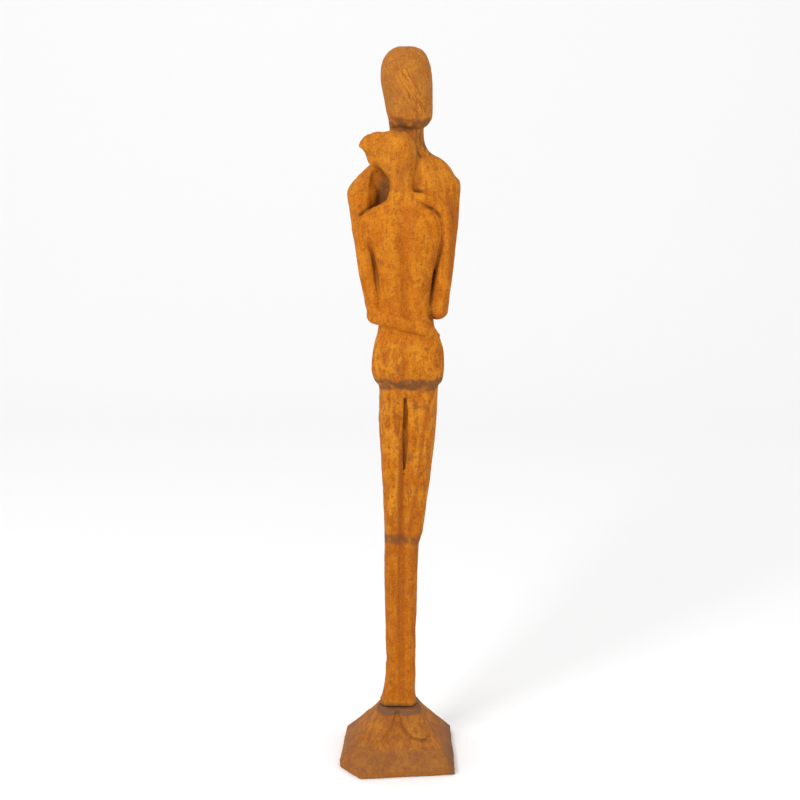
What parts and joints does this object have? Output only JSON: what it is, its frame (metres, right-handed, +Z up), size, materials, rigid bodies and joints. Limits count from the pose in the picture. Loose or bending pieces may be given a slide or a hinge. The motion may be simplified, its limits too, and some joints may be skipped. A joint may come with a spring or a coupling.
{
  "type": "garden statue",
  "caption": "Tall slim cast iron garden statue of an embracing couple, standing on a square mound that rests flat on the ground.",
  "frame": {"origin": "middle of the underside", "axes": "+Z up, -Y to the front of the statue, where the shorter figure's back shows, +X to the viewer's right"},
  "size_m": [0.2053, 0.204, 1.2212],
  "materials": {
    "rusted_iron": "orange rust over rough cast iron",
    "rusted_iron_base": "browner, duller rust over rough cast iron"
  },
  "bodies": {
    "root": {"embracing_couple": "rusted_iron", "mound_base": "rusted_iron_base"}
  },
  "joints": []
}
